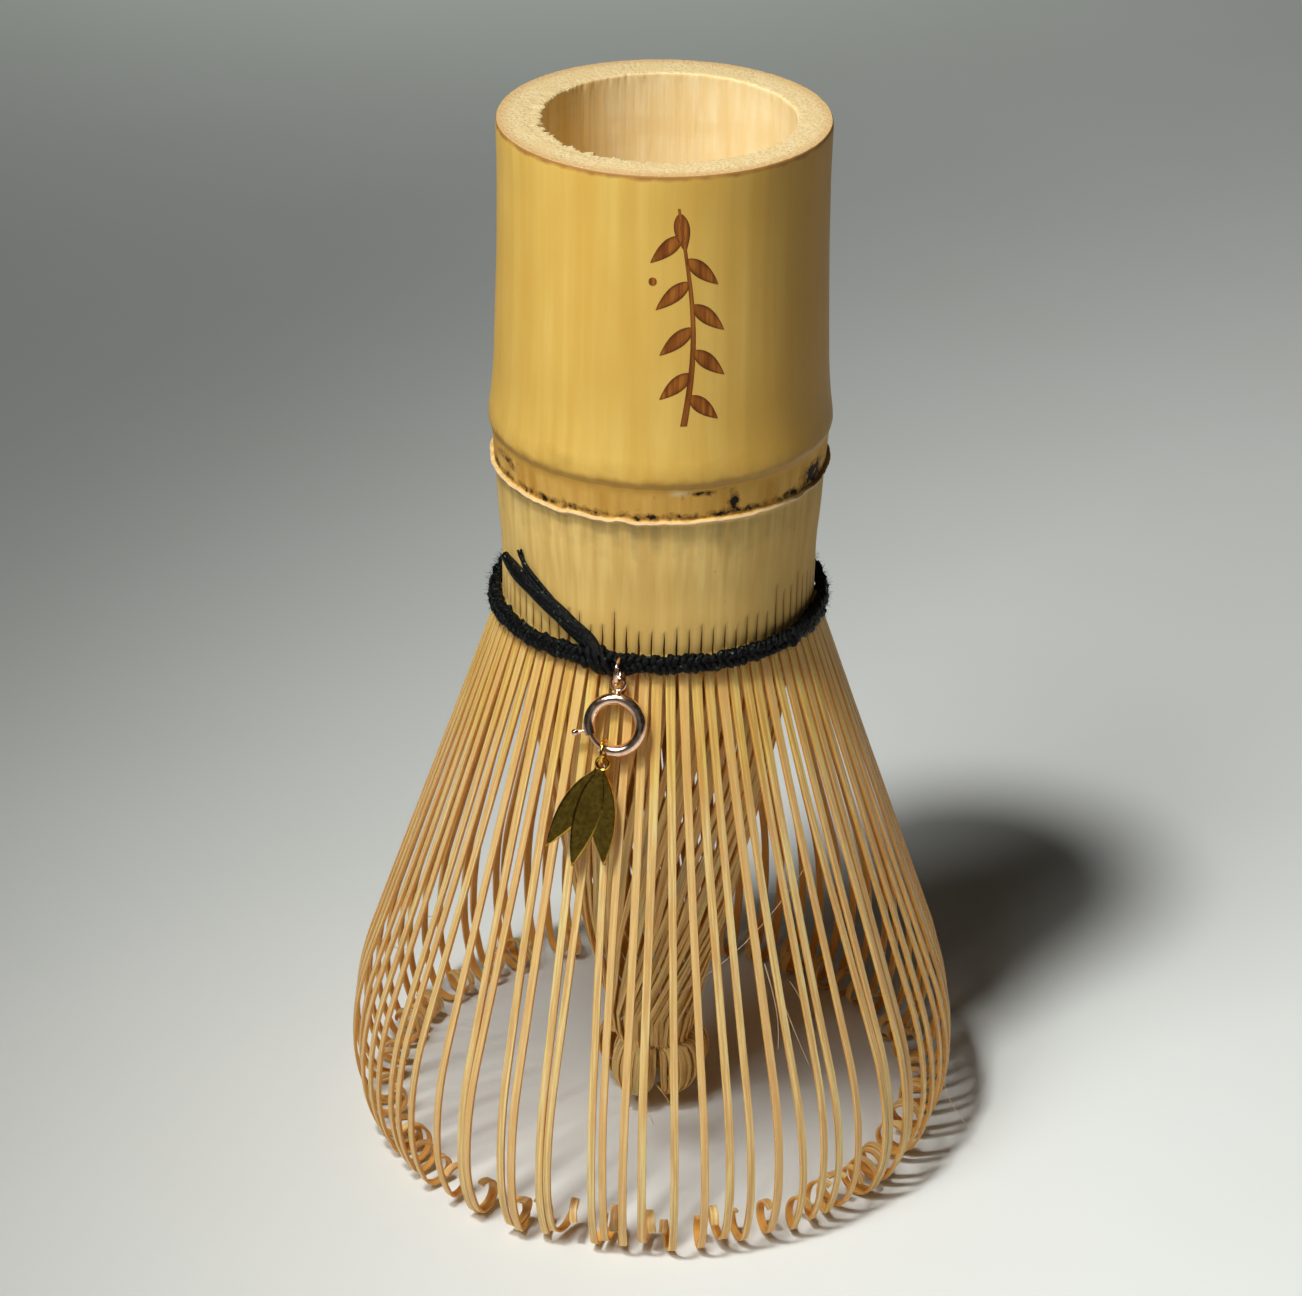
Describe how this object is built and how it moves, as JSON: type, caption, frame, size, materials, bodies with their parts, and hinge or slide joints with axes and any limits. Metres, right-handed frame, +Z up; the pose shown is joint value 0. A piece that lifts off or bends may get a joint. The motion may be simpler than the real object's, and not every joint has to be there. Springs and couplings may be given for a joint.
{
  "type": "bamboo tea whisk",
  "caption": "Bamboo tea whisk: hollow handle cut from one culm, flaring curled outer tines round a twisted inner cone, black binding thread and a hanging clasp charm.",
  "frame": {"origin": "on the floor under the middle of the culm's axis, at the height of the curled tips of the outer tines", "axes": "+Z up the culm to the cut rim of the handle, -Y towards the front, where the charm hangs a little to the left"},
  "size_m": [0.0606, 0.0606, 0.105],
  "materials": {
    "bamboo_skin": "smooth natural culm skin, satin gloss",
    "bamboo_tine": "split and pared, dry matte",
    "bamboo_core": "split inner bamboo, matte",
    "cotton_thread": "black twisted thread",
    "rose_gold_plate": "polished rose gold plate",
    "gold_plate": "polished gold plate",
    "spring_steel": "drawn wire"
  },
  "bodies": {
    "culm": {"handle": "bamboo_skin", "inner_tines_1": "bamboo_core", "inner_tines_2": "bamboo_core", "inner_tines_3": "bamboo_core", "inner_tines_4": "bamboo_core", "inner_tines_5": "bamboo_core", "inner_tines_6": "bamboo_core", "inner_tines_7": "bamboo_core", "inner_tines_8": "bamboo_core", "binding_thread": "cotton_thread", "thread_knot": "cotton_thread", "thread_tail_upper": "cotton_thread", "thread_tail_lower": "cotton_thread"},
    "tines_01": {"outer_tines_01": "bamboo_tine"},
    "tines_02": {"outer_tines_02": "bamboo_tine"},
    "tines_03": {"outer_tines_03": "bamboo_tine"},
    "tines_04": {"outer_tines_04": "bamboo_tine"},
    "tines_05": {"outer_tines_05": "bamboo_tine"},
    "tines_06": {"outer_tines_06": "bamboo_tine"},
    "tines_07": {"outer_tines_07": "bamboo_tine"},
    "tines_08": {"outer_tines_08": "bamboo_tine"},
    "tines_09": {"outer_tines_09": "bamboo_tine"},
    "tines_10": {"outer_tines_10": "bamboo_tine"},
    "tines_11": {"outer_tines_11": "bamboo_tine"},
    "tines_12": {"outer_tines_12": "bamboo_tine"},
    "tines_13": {"outer_tines_13": "bamboo_tine"},
    "tines_14": {"outer_tines_14": "bamboo_tine"},
    "tines_15": {"outer_tines_15": "bamboo_tine"},
    "tines_16": {"outer_tines_16": "bamboo_tine"},
    "jump_ring": {"jump_ring": "rose_gold_plate"},
    "clasp": {"clasp_tube": "rose_gold_plate", "clasp_eye": "rose_gold_plate"},
    "bolt": {"clasp_bolt": "rose_gold_plate", "clasp_spring": "spring_steel"},
    "pendant_link": {"pendant_ring": "gold_plate"},
    "pendant": {"pendant": "gold_plate"}
  },
  "joints": [
    {"name": "tines_01_flex", "type": "hinge", "parent": "culm", "child": "tines_01", "pos_m": [0.00226, -0.01427, 0.0589], "axis": [-0.9877, -0.1564, 0], "range_deg": [-1.6, 1.6], "stiffness_Nm_per_rad": 0.012},
    {"name": "tines_02_flex", "type": "hinge", "parent": "culm", "child": "tines_02", "pos_m": [0.00755, -0.01232, 0.0589], "axis": [-0.8526, -0.5225, 0], "range_deg": [-1.6, 1.6], "stiffness_Nm_per_rad": 0.012},
    {"name": "tines_03_flex", "type": "hinge", "parent": "culm", "child": "tines_03", "pos_m": [0.01169, -0.00849, 0.0589], "axis": [-0.5878, -0.809, 0], "range_deg": [-1.6, 1.6], "stiffness_Nm_per_rad": 0.012},
    {"name": "tines_04_flex", "type": "hinge", "parent": "culm", "child": "tines_04", "pos_m": [0.01405, -0.00337, 0.0589], "axis": [-0.2334, -0.9724, 0], "range_deg": [-1.6, 1.6], "stiffness_Nm_per_rad": 0.012},
    {"name": "tines_05_flex", "type": "hinge", "parent": "culm", "child": "tines_05", "pos_m": [0.01427, 0.00226, 0.0589], "axis": [0.1564, -0.9877, 0], "range_deg": [-1.6, 1.6], "stiffness_Nm_per_rad": 0.012},
    {"name": "tines_06_flex", "type": "hinge", "parent": "culm", "child": "tines_06", "pos_m": [0.01232, 0.00755, 0.0589], "axis": [0.5225, -0.8526, 0], "range_deg": [-1.6, 1.6], "stiffness_Nm_per_rad": 0.012},
    {"name": "tines_07_flex", "type": "hinge", "parent": "culm", "child": "tines_07", "pos_m": [0.00849, 0.01169, 0.0589], "axis": [0.809, -0.5878, 0], "range_deg": [-1.6, 1.6], "stiffness_Nm_per_rad": 0.012},
    {"name": "tines_08_flex", "type": "hinge", "parent": "culm", "child": "tines_08", "pos_m": [0.00337, 0.01405, 0.0589], "axis": [0.9724, -0.2334, 0], "range_deg": [-1.6, 1.6], "stiffness_Nm_per_rad": 0.012},
    {"name": "tines_09_flex", "type": "hinge", "parent": "culm", "child": "tines_09", "pos_m": [-0.00226, 0.01427, 0.0589], "axis": [0.9877, 0.1564, 0], "range_deg": [-1.6, 1.6], "stiffness_Nm_per_rad": 0.012},
    {"name": "tines_10_flex", "type": "hinge", "parent": "culm", "child": "tines_10", "pos_m": [-0.00755, 0.01232, 0.0589], "axis": [0.8526, 0.5225, 0], "range_deg": [-1.6, 1.6], "stiffness_Nm_per_rad": 0.012},
    {"name": "tines_11_flex", "type": "hinge", "parent": "culm", "child": "tines_11", "pos_m": [-0.01169, 0.00849, 0.0589], "axis": [0.5878, 0.809, 0], "range_deg": [-1.6, 1.6], "stiffness_Nm_per_rad": 0.012},
    {"name": "tines_12_flex", "type": "hinge", "parent": "culm", "child": "tines_12", "pos_m": [-0.01405, 0.00337, 0.0589], "axis": [0.2334, 0.9724, 0], "range_deg": [-1.6, 1.6], "stiffness_Nm_per_rad": 0.012},
    {"name": "tines_13_flex", "type": "hinge", "parent": "culm", "child": "tines_13", "pos_m": [-0.01427, -0.00226, 0.0589], "axis": [-0.1564, 0.9877, 0], "range_deg": [-1.6, 1.6], "stiffness_Nm_per_rad": 0.012},
    {"name": "tines_14_flex", "type": "hinge", "parent": "culm", "child": "tines_14", "pos_m": [-0.01232, -0.00755, 0.0589], "axis": [-0.5225, 0.8526, 0], "range_deg": [-1.6, 1.6], "stiffness_Nm_per_rad": 0.012},
    {"name": "tines_15_flex", "type": "hinge", "parent": "culm", "child": "tines_15", "pos_m": [-0.00849, -0.01169, 0.0589], "axis": [-0.809, 0.5878, 0], "range_deg": [-1.6, 1.6], "stiffness_Nm_per_rad": 0.012},
    {"name": "tines_16_flex", "type": "hinge", "parent": "culm", "child": "tines_16", "pos_m": [-0.00337, -0.01405, 0.0589], "axis": [-0.9724, 0.2334, 0], "range_deg": [-1.6, 1.6], "stiffness_Nm_per_rad": 0.012},
    {"name": "jump_ring_swing", "type": "hinge", "parent": "culm", "child": "jump_ring", "pos_m": [-0.00344, -0.01552, 0.05713], "axis": [-0.9763, 0.2164, 0], "range_deg": [0, 45]},
    {"name": "clasp_swing", "type": "hinge", "parent": "jump_ring", "child": "clasp", "pos_m": [-0.00357, -0.01611, 0.056], "axis": [-0.9763, 0.2164, 0], "range_deg": [0, 23]},
    {"name": "clasp_trigger", "type": "hinge", "parent": "clasp", "child": "bolt", "pos_m": [-0.00385, -0.01739, 0.05223], "axis": [0.2044, 0.9221, -0.3285], "range_deg": [0, 38], "stiffness_Nm_per_rad": 0.0015, "springref_deg": -20.05},
    {"name": "pendant_ring_swing", "type": "hinge", "parent": "clasp", "child": "pendant_link", "pos_m": [-0.00484, -0.01795, 0.05005], "axis": [-0.9763, 0.2164, 0], "range_deg": [0, 45]},
    {"name": "pendant_swing", "type": "hinge", "parent": "pendant_link", "child": "pendant", "pos_m": [-0.00494, -0.01839, 0.04874], "axis": [-0.2044, -0.9221, 0.3285], "range_deg": [-40, 50]}
  ]
}
